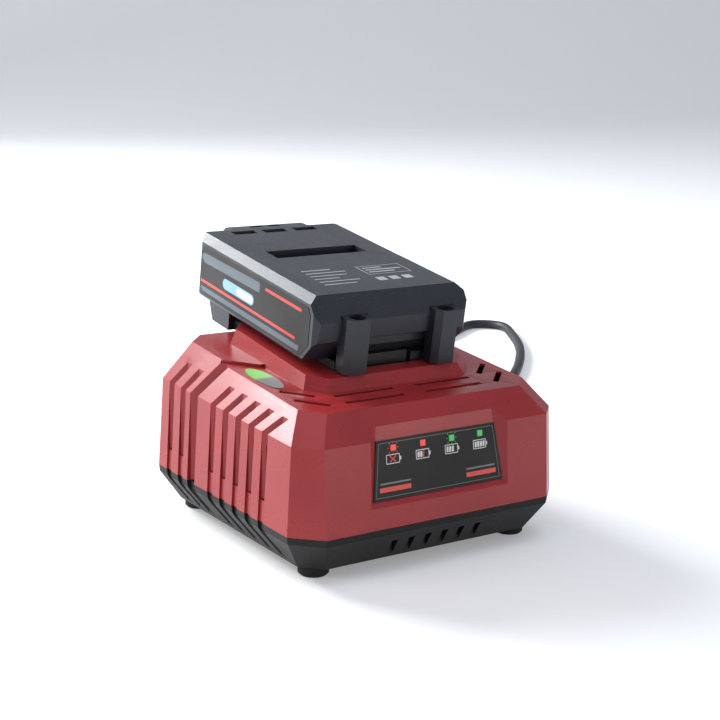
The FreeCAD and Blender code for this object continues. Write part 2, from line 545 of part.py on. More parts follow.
def make_board():
    outline = octagon("boardHalfX", "boardHalfY", "4")
    holes = [("circle", "%d * (boardHalfX - 5)" % sx, "%d * (boardHalfY - 5)" % sy, "1.7") for sx, sy in corners]
    node("main_pcb", prism("MainBoard", [outline] + holes, "boardHeight", "boardThick"))
    screws = []
    for i, (sx, sy) in enumerate(corners):
        screws.append(turned("BoardScrew%d" % i, [("0", "8"), ("1.2", "8"), ("1.2", "boardHeight + boardThick"),
                                                  ("2.7", "boardHeight + boardThick"),
                                                  ("2.7", "boardHeight + boardThick + 1.2"),
                                                  ("2.2", "boardHeight + boardThick + 1.8"),
                                                  ("0", "boardHeight + boardThick + 1.8")],
                             "%d * (boardHalfX - 5)" % sx, "%d * (boardHalfY - 5)" % sy))
    node("pcb_screws", group("BoardScrews", screws))
    top = "boardHeight + boardThick"
    core = cut("Core", box("CoreFull", "-18", "12", top, "34", "13", "28"),
               [box("CoreWindow%d" % i, "-18 + %d * 8.75" % side, "12", top + " + 4.5", "7", "16", "19")
                for i, side in enumerate((-1, 1))])
    node("transformer_core", core)
    winding = cut("Winding", box("WindingFull", "-18", "12", top + " + 4.7", "23", "22", "18.6"),
                  [box("WindingBore", "-18", "12", top + " + 4", "10.9", "13.4", "20")])
    node("transformer_winding", winding)

    def can(name, x, y, radius, tall):
        return turned(name, [("0", top), (radius, top), (radius, "%s + %s - 1" % (top, tall)),
                             ("%s - 1" % radius, "%s + %s" % (top, tall)), ("0", "%s + %s" % (top, tall))], x, y)
    node("bulk_capacitor", can("BulkCan", "24", "21.6", "9", "32"))
    node("output_capacitors", group("OutputCans", [can("OutputCan%d" % i, "%d" % x, "-31", "5", "20")
                                                   for i, x in enumerate((-32, -20, -8))]))
    fins = [[("%d" % (4 + 5 * i), "-12"), ("%.1f" % (5.5 + 5 * i), "-12"), ("%.1f" % (5.5 + 5 * i), "-1"),
             ("%d" % (4 + 5 * i), "-1")] for i in range(8)]
    comb = fuse("HeatSink", [box("SinkPlate", "22", "-13.4", top, "40", "3", "32"),
                             prism("SinkFins", fins, top, "32")])
    node("heat_sink", comb)
    transistors = [box("Transistor%d" % i, "%d" % x, "-17.3", top + " + 3", "10", "4.6", "16")
                   for i, x in enumerate((10, 26))]
    node("power_transistors", group("Transistors", transistors))
    node("bridge_rectifier", box("Bridge", "36", "10", top, "4", "20", "17"))
    node("mains_fuse", fuse("Fuse", [rod("FuseTube", "2", "35", top + " + 4", "2.4", "20", "X"),
                                     rod("FuseCapLeft", "0", "35", top + " + 4", "2.7", "5", "X"),
                                     rod("FuseCapRight", "19", "35", top + " + 4", "2.7", "5", "X"),
                                     box("ClipLeft", "2.5", "35", top, "4", "6", "3"),
                                     box("ClipRight", "21.5", "35", top, "4", "6", "3")]))
    ring = doc.addObject("Part::Torus", "ChokeRing")
    ring.Radius1 = 9
    ring.Radius2 = 4
    ring.Placement = Placement(Vector(0, 0, 0), Rotation(Vector(1, 0, 0), 90))
    place(ring, "-18", "34", top + " + 13")
    node("line_choke", ring)


def pack_profile(inset, whole=True):
    """Side outline of the battery case, (along, up), moved inwards by an inset."""
    t = "(%s)" % inset
    lower = [("5.1 + " + t, "14.6 + 0.3 * " + t), ("14.8 + 0.5 * " + t, "packFloor + " + t),
             ("111.3 - 0.5 * " + t, "packFloor + " + t), ("122.6 - " + t, "14 + 0.3 * " + t),
             ("122.1 - " + t, "packParting")]
    upper = [("122.1 - " + t, "packParting"), ("114 - 0.6 * " + t, "packTop - " + t),
             ("12.4 + 0.6 * " + t, "packTop - " + t), ("4.35 + " + t, "packParting")]
    return lower + upper[1:], lower + [upper[-1]], upper


def pack_form(name, profile, inset):
    """Battery case form: side outline, end outline and plan outline in common."""
    t = "(%s)" % inset
    side = side_prism(name + "Side", [profile], "packHalf - " + t)
    half, top = "packHalf - " + t, "packTop - " + t
    end = doc.addObject("Sketcher::SketchObject", name + "EndOutline")
    end.Placement = Placement(Vector(0, 0, 0), Rotation(Vector(1, 0, 0), 90))
    fill_sketch(end, [[("-(%s) + 2" % half, "packFloor + " + t), ("%s - 2" % half, "packFloor + " + t),
                       (half, "packFloor + 2 + " + t), (half, "packTop - packBevelDrop"),
                       ("%s - packBevel + 0.4 * %s" % (half, t), top),
                       ("-(%s - packBevel + 0.4 * %s)" % (half, t), top),
                       ("-(%s)" % half, "packTop - packBevelDrop"), ("-(%s)" % half, "packFloor + 2 + " + t)]])
    bind(end, Placement__Base__y="130")
    across = doc.addObject("Part::Extrusion", name + "Across")
    across.Base = end
    across.DirMode = "Custom"
    across.Dir = Vector(0, -1, 0)
    across.Solid = True
    bind(across, LengthFwd="135")
    plan = prism(name + "Plan", [[("-(%s) + 2.7" % half, "4 + " + t), ("%s - 2.7" % half, "4 + " + t),
                                  (half, "7 + " + t), (half, "109 - " + t), ("%s - 3.6" % half, "113 - " + t),
                                  ("22 - 0.6 * " + t, "124 - " + t), ("-(22 - 0.6 * %s)" % t, "124 - " + t),
                                  ("-(%s) + 3.6" % half, "113 - " + t), ("-(%s)" % half, "109 - " + t),
                                  ("-(%s)" % half, "7 + " + t)]], "-20", "80")
    return common(name, [side, across, plan])


def make_battery():
    whole, lower, upper = pack_profile("0")
    inner_whole, inner_lower, inner_upper = pack_profile("packWall")
    # Upper shell, with the hand recess and the small pockets of its far end
    tongue = side_prism("Tongue", [[("112", "packParting"), ("123.6", "packParting"), ("124.4", "30"),
                                    ("121.5", "32.8"), ("112", "packTop - 0.2")]], "21.5")
    recess = box("HandRecess", "0", "71.5", "packTop - 4.4", "49", "11", "10")
    recess_wall = box("HandRecessWall", "0", "71.5", "packTop - 6", "52.2", "14.2", "12")
    pockets = [box("EndPocket%d" % i, x, "108.5", "packTop - 1.4", "12.6", "5", "4")
               for i, x in enumerate(("-18.1", "-1.4", "15.8"))]
    pockets += [box("TonguePocket%d" % i, x, "119", "packTop - 2.6", "6.8", "2.4", "4")
                for i, x in enumerate(("-5.8", "4.4"))]
    boss_x = ["bossOffset - bossPitch / 2", "bossOffset + bossPitch / 2"]
    notches = [box("BossNotch%d" % i, x, "3", "packParting - 1", "13.6", "8.6", "bossTop - packParting + 1.2")
               for i, x in enumerate(boss_x)]
    hollow = cut("UpperHollow", pack_form("UpperInner", inner_upper, "packWall"), [recess_wall])
    shell = cut("UpperShell", fuse("UpperFull", [pack_form("UpperOuter", upper, "0"), tongue]),
                [hollow, recess] + pockets + notches)
    node("battery_top_shell", shell, True)

    # Lower shell with its neck: web, flanges, end block and the channel for the terminals
    rails = [box("Web", "0", "(neckStart + neckEnd) / 2", "-lipThick - neckFit", "2 * (lipHalf - neckFit)",
                 "neckEnd - neckStart", "packFloor + lipThick + neckFit + 0.5"),
             box("Flange", "0", "(neckStart + neckEnd) / 2", "-pocketFloor + neckFit",
                 "2 * (pocketHalf - flangeFit)", "neckEnd - neckStart", "pocketFloor - neckFit - lipThick - neckFit"),
             side_prism("EndBlock", [[("neckEnd - 1", "-pocketFloor + neckFit"), ("106", "-pocketFloor + neckFit"),
                                      ("112", "packFloor + 0.5"), ("neckEnd - 1", "packFloor + 0.5")]], "34")]
    bosses = [prism("Boss%d" % i, [[("%s - 4.1" % x, "-1.5"), ("%s + 4.1" % x, "-1.5"), ("%s + 6.4" % x, "1.5"),
                                    ("%s + 6.4" % x, "7"), ("%s - 6.4" % x, "7"), ("%s - 6.4" % x, "1.5")]], "0.6",
                    "bossTop - 0.6") for i, x in enumerate(boss_x)]
    channel = box("TerminalChannel", "0", "(channelEnd - 10) / 2", "-20", "2 * channelHalf", "channelEnd + 10",
                  "20 + channelTop")
    channel_wall = box("ChannelWall", "0", "(channelEnd - 10) / 2", "-20", "2 * channelHalf + 3.6",
                       "channelEnd + 13.6", "20 + channelTop + 1.8")
    latch_bay = side_prism("LatchBay", [[("92", "-20"), ("116", "-20"), ("116", "springTop"), ("92", "springTop")]],
                           "latchHalf + latchFit")
    latch_wall = side_prism("LatchWall", [[("90", "-20"), ("118", "-20"), ("118", "springTop + 1.6"), ("90", "springTop + 1.6")]],
                            "latchHalf + latchFit + 2")
    lighten = [box("NeckHollow%d" % i, "%d * 21" % side, "52", "-5.6", "8", "74", "20")
               for i, side in enumerate((-1, 1))]
    under = cut("LowerHollow", pack_form("LowerInner", inner_lower, "packWall"), [channel_wall, latch_wall])
    holes = [rod("BossBore%d" % i, x, "3.2", "15", "3.7", "20") for i, x in enumerate(boss_x)]
    holes += [rod("BossShank%d" % i, x, "3.2", "5", "1.45", "20") for i, x in enumerate(boss_x)]
    front = box("FrontRecess", "bossOffset", "5", "packFloor - 6", "bossPitch - 12.8", "9", "17.4")
    shell = cut("LowerShell", fuse("LowerFull", [pack_form("LowerOuter", lower, "0")] + rails + bosses),
                [under, channel, latch_bay, front] + lighten + holes)
    node("battery_rail_shell", shell, True)
    screws = []
    for i, x in enumerate(boss_x):
        body = turned("PackScrew%d" % i, [("0", "5.6"), ("1.4", "5.6"), ("1.4", "15"), ("3", "15"), ("3", "17"),
                                          ("2.4", "17.6"), ("0.9", "17.6"), ("0.9", "16.6"), ("0", "16.6")],
                      x, "3.2", "0")
        screws.append(body)
    node("battery_screws", group("PackScrews", screws), True)

    cells = [rod("Cell%d" % i, "-cellLength / 2", "cellFirst + %d * cellPitch" % i, "cellHeight - 3.8",
                 "cellDiameter / 2", "cellLength", "X") for i in range(5)]
    node("battery_cells", group("Cells", cells), True)
    frame = []
    for i, side in enumerate((-1, 1)):
        plate = side_prism("HolderPlate%d" % i, [[("13.4", "9.8"), ("15.8", "7.4"), ("110.8", "7.4"),
                                                  ("113.2", "9.8"), ("113.2", "29.2"), ("13.4", "29.2")]], "1.5",
                           "%d * 29.3 - 1.5" % side)
        bores = [rod("HolderBore%d%d" % (i, k), "%d * 29.3 - 4" % side, "cellFirst + %d * cellPitch" % k,
                     "cellHeight - 3.8", "cellDiameter / 2 + 0.15", "8", "X") for k in range(5)]
        frame.append(cut("Holder%d" % i, plate, bores))
    node("cell_holders", group("CellHolders", frame), True)
    strips = []
    for i, (side, first) in enumerate(((-1, 0), (-1, 2), (1, 1), (1, 3))):
        strips.append(box("Strip%d" % i, "%d * (cellLength / 2 + 0.15)" % side,
                          "cellFirst + %.1f * cellPitch" % (first + 0.5), "cellHeight - 7.8", "0.3", "27", "8"))
    node("nickel_strips", group("Strips", strips), True)
    block = box("PackTerminalFull", "0", "44", "-8", "28.4", "5.6", "12.6")
    node("battery_terminal_block", group("PackTerminalBlock", [block]), True)
    forks = []
    for i in range(5):
        for side in (-1, 1):
            forks.append(box("Fork%d%d" % (i, side + 1), "(%d - 2) * 5 + %d * 0.8" % (i, side), "35.1", "-4", "0.5",
                             "12.2", "7"))
    node("battery_contacts", group("Forks", forks), True)
    node("battery_pcb", group("PackBoards", [box("PackBoard", "0", "68", "6.4", "46", "36", "1.4")]), True)
    for side, label in ((-1, "side_label_left"), (1, "side_label_right")):
        outline = [("9.4", "12.4"), ("15.4", "5.9"), ("104.4", "5.9"), ("108.6", "10.6"), ("108.6", "25.6"),
                   ("106", "29.2"), ("11.8", "29.2"), ("9.4", "26")]
        sticker = side_prism(label + "Sheet", [outline], "labelSheet / 2",
                             "%d * (packHalf + labelSheet / 2) - labelSheet / 2" % side)
        node(label, sticker, True)

    # Release button with its hook, pressed upwards against two springs
    latch = side_prism("Latch", [[("93", "-4"), ("93", "-11.3"), ("96", "-11.3"), ("97.5", "-7.5"), ("112", "-5.5"),
                                  ("113.5", "0"), ("113.5", "2"), ("93", "2")]], "latchHalf")
    wells = [rod("SpringWell%d" % i, "%d * springX" % side, "springV", "springTop - springLength", "springDiameter / 2 + 0.3", "9")
             for i, side in enumerate((-1, 1))]
    node("release_latch", cut("LatchCut", latch, wells), True)


# Cord: inside the housing, out through the grommet, along the floor and back behind the charger
cord_route = [
    (34, 58, 21), (34, 100, 21), (31, 138, 3.3), (48, 170, 3.3), (76, 203, 3.3), (116, 231, 3.3),
    (163, 255, 3.3), (211, 272, 3.3), (254, 285, 3.3), (289, 303, 3.3), (316, 322, 3.3), (328, 321.7, 3.3),
    (337, 313.8, 3.3), (339, 302, 3.3), (327, 281, 3.3), (303, 241, 3.3), (266, 198, 3.3), (229, 163, 3.3),
    (190, 133, 3.3), (165, 116.2, 3.3),
]
coil_radius = 44.0
coil_pitch = 7.0
turns_in = 5
turns_out = 3


def bent(points, print_name):
    """Straight runs joined by arcs that touch both; returns the edges."""
    edges = []
    start = points[0]
    radii = []
    for before, corner, after in zip(points, points[1:], points[2:]):
        back = (before - corner).normalize()
        ahead = (after - corner).normalize()
        half_turn = (math.pi - back.getAngle(ahead)) / 2
        run = 0.45 * min((before - corner).Length, (after - corner).Length)
        radii.append(run / math.tan(half_turn))
        first = corner + back * run
        last = corner + ahead * run
        inward = (back + ahead).normalize()
        middle = corner + inward * (radii[-1] / math.cos(half_turn) - radii[-1])
        edges.append(Part.LineSegment(start, first).toShape())
        edges.append(Part.Arc(first, middle, last).toShape())
        start = last
    edges.append(Part.LineSegment(start, points[-1]).toShape())
    print(print_name, "radii", ", ".join("%.0f" % radius for radius in radii))
    return edges


def quarter(start, control, end):
    """Arc that touches start-control and control-end, both of the same length."""
    weight = (end - start).Length / (2 * (control - start).Length)
    middle = (start + control * (2 * weight) + end) * (1 / (2 + 2 * weight))
    return Part.Arc(start, middle, end).toShape()


def coil_edges(start, heading, radius):
    """Half turns that spiral in, climb a layer in two arcs, and spiral out again; straight at both ends."""
    straight = value("cordDiameter")
    side = Vector(heading.y, -heading.x, 0)
    spot = start + heading * straight
    edges = [Part.LineSegment(start, spot).toShape()]
    for k in range(turns_in + 1 + turns_out):
        step = k if k <= turns_in else 2 * turns_in - k
        turn = radius - step * coil_pitch / 2
        end = spot + side * 2 * turn
        if k == turns_in:
            end = end + Vector(0, 0, coil_pitch)
            reach = (end - spot).Length / 2
            first = spot + heading * reach
            last = end + heading * reach
            middle = (first + last) * 0.5
            edges.append(quarter(spot, first, middle))
            edges.append(quarter(middle, last, end))
        else:
            edges.append(Part.Arc(spot, (spot + end) * 0.5 + heading * turn, end).toShape())
        spot = end
        heading = heading * -1
        side = side * -1
    edges.append(Part.LineSegment(spot, spot + heading * straight).toShape())
    return edges, spot + heading * straight, heading


def tube(name, edges):
    """Round tube along a path, as one unbroken pipe."""
    wire = Part.Wire(edges)
    start = edges[0].Vertexes[0].Point
    heading = (edges[0].Vertexes[1].Point - start).normalize()
    ring = Part.Wire([Part.makeCircle(value("cordDiameter") / 2, start, heading)])
    solid = wire.makePipeShell([ring], True, False)
    thing = doc.addObject("Part::Feature", name)
    thing.Shape = solid
    expected = math.pi * value("cordDiameter") ** 2 / 4 * wire.Length
    print("%s length %.0f mm, volume over section times length %.4f" % (name, wire.Length, solid.Volume / expected))
    return thing, wire


def own_gap(wire, near, count=900):
    """Least distance between turns of a wound tube: points further apart than near along it."""
    points = wire.discretize(count)
    step = wire.Length / (count - 1)
    skip = int(near / step) + 1
    least = min((a - b).Length for i, a in enumerate(points) for b in points[i + skip:])
    return least - value("cordDiameter")


def make_cord():
    bore, neck, rim = "cordDiameter / 2 + cordGrip", "cordHole - 0.1", "cordHole + 1.8"
    wall_end = "depth / 2"
    grommet = turned("Grommet", [(bore, "-8.1"), ("cordHole + 1", "-8.1"), ("cordHole + 1", "-4.9"), (neck, "-4.9"),
                                 (neck, "0.4"), (rim, "0.4"), (rim, "2.9"), ("cordHole + 0.8", "2.9"),
                                 (bore + " + 1", "20.5"), (bore, "20.5")],
                     "cordX", wall_end, "partingHeight", "Y")
    node("cord_grommet", grommet)
    run, run_wire = tube("CordRun", bent([Vector(*point) for point in cord_route], "cord"))
    node("cord_run", run)
    heading = (Vector(*cord_route[-1]) - Vector(*cord_route[-2])).normalize()
    edges, end, heading = coil_edges(Vector(*cord_route[-1]), heading, coil_radius)
    coil, coil_wire = tube("CordCoil", edges)
    print("coil gap to itself %.2f mm" % own_gap(coil_wire, 60))
    node("cord_coil", coil)
    # Plug, drawn along X from the cord's end: a strain relief, a body with a waist and two flat pins
    outline = [("0", "3.4"), ("24", "3.9"), ("30", "8"), ("38", "9.5"), ("44", "8.5"), ("54", "10.5"), ("62", "11.5")]
    below = [(x, "-" + y) for x, y in outline[::-1]]
    plan = prism("PlugPlan", [outline + below], "-10", "20")
    profile = [("0", "3.4"), ("24", "3.7"), ("30", "7"), ("38", "8.5"), ("62", "10")]
    below = [(x, "-" + z) for x, z in profile[::-1]]
    sketch = doc.addObject("Sketcher::SketchObject", "PlugSide")
    sketch.Placement = Placement(Vector(0, 20, 0), Rotation(Vector(1, 0, 0), 90))
    fill_sketch(sketch, [profile + below])
    across = doc.addObject("Part::Extrusion", "PlugAcross")
    across.Base = sketch
    across.DirMode = "Custom"
    across.Dir = Vector(0, -1, 0)
    across.Solid = True
    bind(across, LengthFwd="40")
    pins = [box("Pin%d" % i, "62 + 8.5", "%g" % (side * 6.35), "-3.15", "17", "1.5", "6.3")
            for i, side in enumerate((-1, 1))]
    turn = Rotation(Vector(1, 0, 0), heading)
    for label, thing in (("plug_body", common("PlugBody", [plan, across])), ("plug_pins", group("Pins", pins))):
        node(label, thing)
        thing.Placement = Placement(end, turn)


def make_springs():
    springs = []
    wire = 0.6
    radius = value("springDiameter") / 2 - wire / 2
    tall = value("springLength") - wire
    for i, side in enumerate((-1, 1)):
        path = Part.makeHelix(tall / 5, tall, radius)
        start = Vector(radius, 0, 0)
        rise = tall / 5 / (2 * math.pi * radius)
        ring = Part.Wire([Part.makeCircle(wire / 2, start, Vector(0, 1, rise))])
        coil = Part.Wire(path.Edges).makePipeShell([ring], True, True)
        coil.translate(Vector(side * value("springX"), value("springV"), value("springTop - springLength") + wire / 2))
        springs.append(coil)
    thing = doc.addObject("Part::Feature", "LatchSprings")
    thing.Shape = Part.makeCompound(springs)
    node("latch_springs", thing, True)


def make_sticker():
    """Thin oval sheet on the lowered left front of the top, following its slope."""
    sketch = doc.addObject("Sketcher::SketchObject", "StickerOutline")
    sketch.addGeometry(Part.Ellipse(Vector(0, 0, 0), 14.5, 4.75), False)
    solid = doc.addObject("Part::Extrusion", "Sticker")
    solid.Base = sketch
    solid.DirMode = "Custom"
    solid.Dir = Vector(0, 0, 1)
    solid.Solid = True
    solid.LengthFwd = 0.15
    turned_sticker = group("StickerSheet", [solid])
    solid.Placement = Placement(Vector(0, 0, 0), Rotation(Vector(0, 0, 1), 90))
    node("round_sticker", place(turned_sticker, "-51.7", "-8", "topFront - topStep + (depth / 2 - 8) * "
                                "tan(topTilt * 1 deg) + 0.02", "topTilt"))


def export():
    doc.recompute()
    failed = [thing.Name for thing in doc.Objects if "Invalid" in thing.State or "Error" in thing.State]
    if failed:
        raise ValueError("failed objects: " + ", ".join(failed))
    os.makedirs("parts", exist_ok=True)
    for label, thing in nodes.items():
        shape = thing.Shape
        if shape.isNull() or not shape.isValid():
            raise ValueError("no valid shape: " + label)
        shape.exportStep("parts/%s.step" % label)
        bounds = shape.BoundBox
        print("%s: %d solids, %.0f mm3, %.1f x %.1f x %.1f" % (label, len(shape.Solids), shape.Volume,
                                                             bounds.XLength, bounds.YLength, bounds.ZLength))


make_housing()
make_fittings()
make_dock_contacts()
make_board()
make_battery()
make_springs()
make_cord()
make_sticker()
export()
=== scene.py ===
import json
import math
import bmesh
import bpy
import numpy as np
from mathutils import Matrix, Vector


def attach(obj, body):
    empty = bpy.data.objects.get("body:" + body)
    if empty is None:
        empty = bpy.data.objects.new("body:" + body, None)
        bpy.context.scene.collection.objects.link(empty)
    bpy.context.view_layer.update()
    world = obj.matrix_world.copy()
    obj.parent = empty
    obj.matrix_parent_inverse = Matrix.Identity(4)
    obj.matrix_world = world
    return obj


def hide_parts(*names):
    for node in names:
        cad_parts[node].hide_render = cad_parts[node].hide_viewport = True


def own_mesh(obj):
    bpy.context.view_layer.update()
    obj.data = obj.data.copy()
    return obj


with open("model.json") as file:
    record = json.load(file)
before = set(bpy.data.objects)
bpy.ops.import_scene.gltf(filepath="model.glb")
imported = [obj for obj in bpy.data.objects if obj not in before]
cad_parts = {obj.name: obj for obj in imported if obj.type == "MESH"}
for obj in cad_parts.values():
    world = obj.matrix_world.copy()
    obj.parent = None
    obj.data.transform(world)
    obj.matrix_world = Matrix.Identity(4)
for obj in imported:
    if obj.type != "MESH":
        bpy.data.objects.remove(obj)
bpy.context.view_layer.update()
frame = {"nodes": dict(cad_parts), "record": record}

nodes = frame["nodes"]
bodyOf = {node: body for body, members in frame["record"]["behaviour"]["bodies"].items() for node in members}
slotOf = {part["node"]: part["material_slot"] for part in frame["record"]["subparts"]}
print("loaded", len(nodes), "nodes")


def addObject(name, data):
    made = bpy.data.objects.new(name, data)
    bpy.context.scene.collection.objects.link(made)
    return made


# Camera at the photograph's view: where it stands around the charger, in degrees and metres
cameraView = {"azimuth": -33.88, "elevation": 12.89, "roll": 1.25, "distance": 0.6743,
              "target": (0.0034, 0.0, 0.0753), "lens": 73.6, "sensor": 36, "nearest": 0.01}


def placeCamera(v):
    a, e, r = (math.radians(v[k]) for k in ("azimuth", "elevation", "roll"))
    back = Vector((math.sin(a) * math.cos(e), -math.cos(a) * math.cos(e), math.sin(e)))
    right = (-back).cross(Vector((0, 0, 1))).normalized()
    up = right.cross(-back)
    turnedRight = right * math.cos(r) + up * math.sin(r)
    turnedUp = up * math.cos(r) - right * math.sin(r)
    data = bpy.data.cameras.new("camera")
    data.lens, data.sensor_width, data.clip_start = v["lens"], v["sensor"], v["nearest"]
    camera = addObject("camera", data)
    turn = Matrix((turnedRight, turnedUp, back)).transposed()
    camera.matrix_world = Matrix.Translation(Vector(v["target"]) + back * v["distance"]) @ turn.to_4x4()
    bpy.context.scene.camera = camera


placeCamera(cameraView)

# Dock's own frame: x across, v along the incline to the back, w square to it
dock = {"tilt": 8.14, "y": -0.033, "z": 0.0778}


def dockPlace(points):
    # points (x, v, w) turned by the tilt about X, then moved to the dock's front edge
    p = np.asarray(points, float)
    c, s = math.cos(math.radians(dock["tilt"])), math.sin(math.radians(dock["tilt"]))
    return np.stack([p[..., 0], dock["y"] + p[..., 1] * c - p[..., 2] * s,
                     dock["z"] + p[..., 1] * s + p[..., 2] * c], axis=-1)


# Shared effects as node groups: each gives only numbers, colours or normals
def newGroup(name, inputs, outputs):
    group = bpy.data.node_groups.new(name, "ShaderNodeTree")
    for socket, kind, value in inputs:
        made = group.interface.new_socket(name=socket, in_out="INPUT", socket_type=kind)
        made.default_value = value
    for socket, kind in outputs:
        group.interface.new_socket(name=socket, in_out="OUTPUT", socket_type=kind)
    return group, group.nodes.new("NodeGroupInput"), group.nodes.new("NodeGroupOutput")


def add(tree, kind, **values):
    node = tree.nodes.new(kind)
    for key, value in values.items():
        node.inputs[key].default_value = value
    return node


def calculate(tree, operation, a, b):
    node = tree.nodes.new("ShaderNodeMath")
    node.operation = operation
    for socket, value in ((node.inputs[0], a), (node.inputs[1], b)):
        if isinstance(value, (int, float)):
            socket.default_value = value
        else:
            tree.links.new(value, socket)
    return node.outputs[0]


# Spark-eroded grain and the slow mottle of moulded plastic
grainLook = {"scale": 2600.0, "detail": 3.0, "roughness": 0.6, "mottleScale": 34.0, "mottleDetail": 2.0}


def makeMouldTexture(p):
    # two noises of different size on Object coordinates: the fine one is a height, the broad one a mottle
    group, given, made = newGroup("mouldTexture", [("Scale", "NodeSocketFloat", p["scale"])],
                                  [("Height", "NodeSocketFloat"), ("Mottle", "NodeSocketFloat")])
    place = group.nodes.new("ShaderNodeTexCoord")
    fine = add(group, "ShaderNodeTexNoise", Detail=p["detail"], Roughness=p["roughness"])
    broad = add(group, "ShaderNodeTexNoise", Detail=p["mottleDetail"], Scale=p["mottleScale"])
    for noise in (fine, broad):
        group.links.new(place.outputs["Object"], noise.inputs["Vector"])
    group.links.new(given.outputs["Scale"], fine.inputs["Scale"])
    group.links.new(fine.outputs["Fac"], made.inputs["Height"])
    group.links.new(broad.outputs["Fac"], made.inputs["Mottle"])
    return group


# Faint marks of use: smears and specks of dust
marks = {"stretch": (1.0, 0.35, 1.0), "smearScale": 55.0, "smearDetail": 5.0, "smearRoughness": 0.7,
         "smearDistortion": 0.6, "speckScale": 420.0, "speckSize": 0.055, "dustColour": (0.62, 0.6, 0.58)}


def makeHandling(p):
    # a stretched noise for the smears, and the middles of small cells for the specks, both as masks
    group, given, made = newGroup("handling", [("Specks", "NodeSocketFloat", 0.5)],
                                  [("Smear", "NodeSocketFloat"), ("Dust", "NodeSocketFloat")])
    place = group.nodes.new("ShaderNodeTexCoord")
    stretch = add(group, "ShaderNodeMapping", Scale=p["stretch"])
    smear = add(group, "ShaderNodeTexNoise", Scale=p["smearScale"], Detail=p["smearDetail"],
                Roughness=p["smearRoughness"], Distortion=p["smearDistortion"])
    speck = add(group, "ShaderNodeTexVoronoi", Scale=p["speckScale"])
    group.links.new(place.outputs["Object"], stretch.inputs["Vector"])
    group.links.new(stretch.outputs["Vector"], smear.inputs["Vector"])
    group.links.new(place.outputs["Object"], speck.inputs["Vector"])
    group.links.new(smear.outputs["Fac"], made.inputs["Smear"])
    small = calculate(group, "LESS_THAN", speck.outputs["Distance"], p["speckSize"])
    group.links.new(calculate(group, "MULTIPLY", small, given.outputs["Specks"]), made.inputs["Dust"])
    return group


groups = {"mould": makeMouldTexture(grainLook), "handling": makeHandling(marks)}


def placed(tree, name, **values):
    node = tree.nodes.new("ShaderNodeGroup")
    node.node_tree = groups[name]
    for key, value in values.items():
        node.inputs[key].default_value = value
    return node


def ramp(tree, factor, low, high, start=0.3, end=0.7):
    node = tree.nodes.new("ShaderNodeMapRange")
    for key, value in (("From Min", start), ("From Max", end), ("To Min", low), ("To Max", high)):
        node.inputs[key].default_value = value
    tree.links.new(factor, node.inputs["Value"])
    return node.outputs["Result"]


def mixColour(tree, factor, a, b):
    node = tree.nodes.new("ShaderNodeMix")
    node.data_type = "RGBA"
    for socket, value in ((node.inputs[0], factor), (node.inputs[6], a), (node.inputs[7], b)):
        if isinstance(value, tuple):
            socket.default_value = (*value, 1.0)
        else:
            tree.links.new(value, socket)
    return node.outputs[2]


def newMaterial(name):
    material = bpy.data.materials.new(name)
    material.use_nodes = True
    tree = material.node_tree
    return material, tree, tree.nodes["Principled BSDF"]


def bump(tree, height, distance, strength, shader):
    node = add(tree, "ShaderNodeBump", Distance=distance, Strength=strength)
    tree.links.new(height, node.inputs["Height"])
    tree.links.new(node.outputs["Normal"], shader.inputs["Normal"])


def mouldedPlastic(name, colour, deep, roughness=(0.34, 0.44), grain=1500.0, depth=0.00008, strength=0.4,
                   dust=0.0, specular=0.5, sparkle=0.06):
    # two close colours by the mottle, dust on top, and roughness from the smears and the grain
    material, tree, shader = newMaterial(name)
    texture = placed(tree, "mould", Scale=grain)
    handling = placed(tree, "handling", Specks=dust)
    base = mixColour(tree, ramp(tree, texture.outputs["Mottle"], 0, 1, 0.35, 0.65), colour, deep)
    dusty = mixColour(tree, handling.outputs["Dust"], base, marks["dustColour"])
    tree.links.new(dusty, shader.inputs["Base Color"])
    matt = ramp(tree, handling.outputs["Smear"], *roughness)
    speckled = ramp(tree, texture.outputs["Height"], -sparkle, sparkle, 0.35, 0.65)
    tree.links.new(calculate(tree, "ADD", matt, speckled), shader.inputs["Roughness"])
    shader.inputs["Specular IOR Level"].default_value = specular
    bump(tree, texture.outputs["Height"], depth, strength, shader)
    return material


def plainFinish(name, colour, roughness=0.4, metallic=0.0, grain=900.0, strength=0.15, depth=0.00004,
                specular=0.5):
    # one colour that the mottle darkens a little, for metal, sheets and small pieces
    material, tree, shader = newMaterial(name)
    shader.inputs["Specular IOR Level"].default_value = specular
    texture = placed(tree, "mould", Scale=grain)
    mottle = texture.outputs["Mottle"]
    deep = tuple(c * 0.8 for c in colour)
    tree.links.new(mixColour(tree, ramp(tree, mottle, 0, 1), colour, deep), shader.inputs["Base Color"])
    tree.links.new(ramp(tree, mottle, roughness * 0.85, roughness * 1.15), shader.inputs["Roughness"])
    shader.inputs["Metallic"].default_value = metallic
    bump(tree, texture.outputs["Height"], depth, strength, shader)
    return material


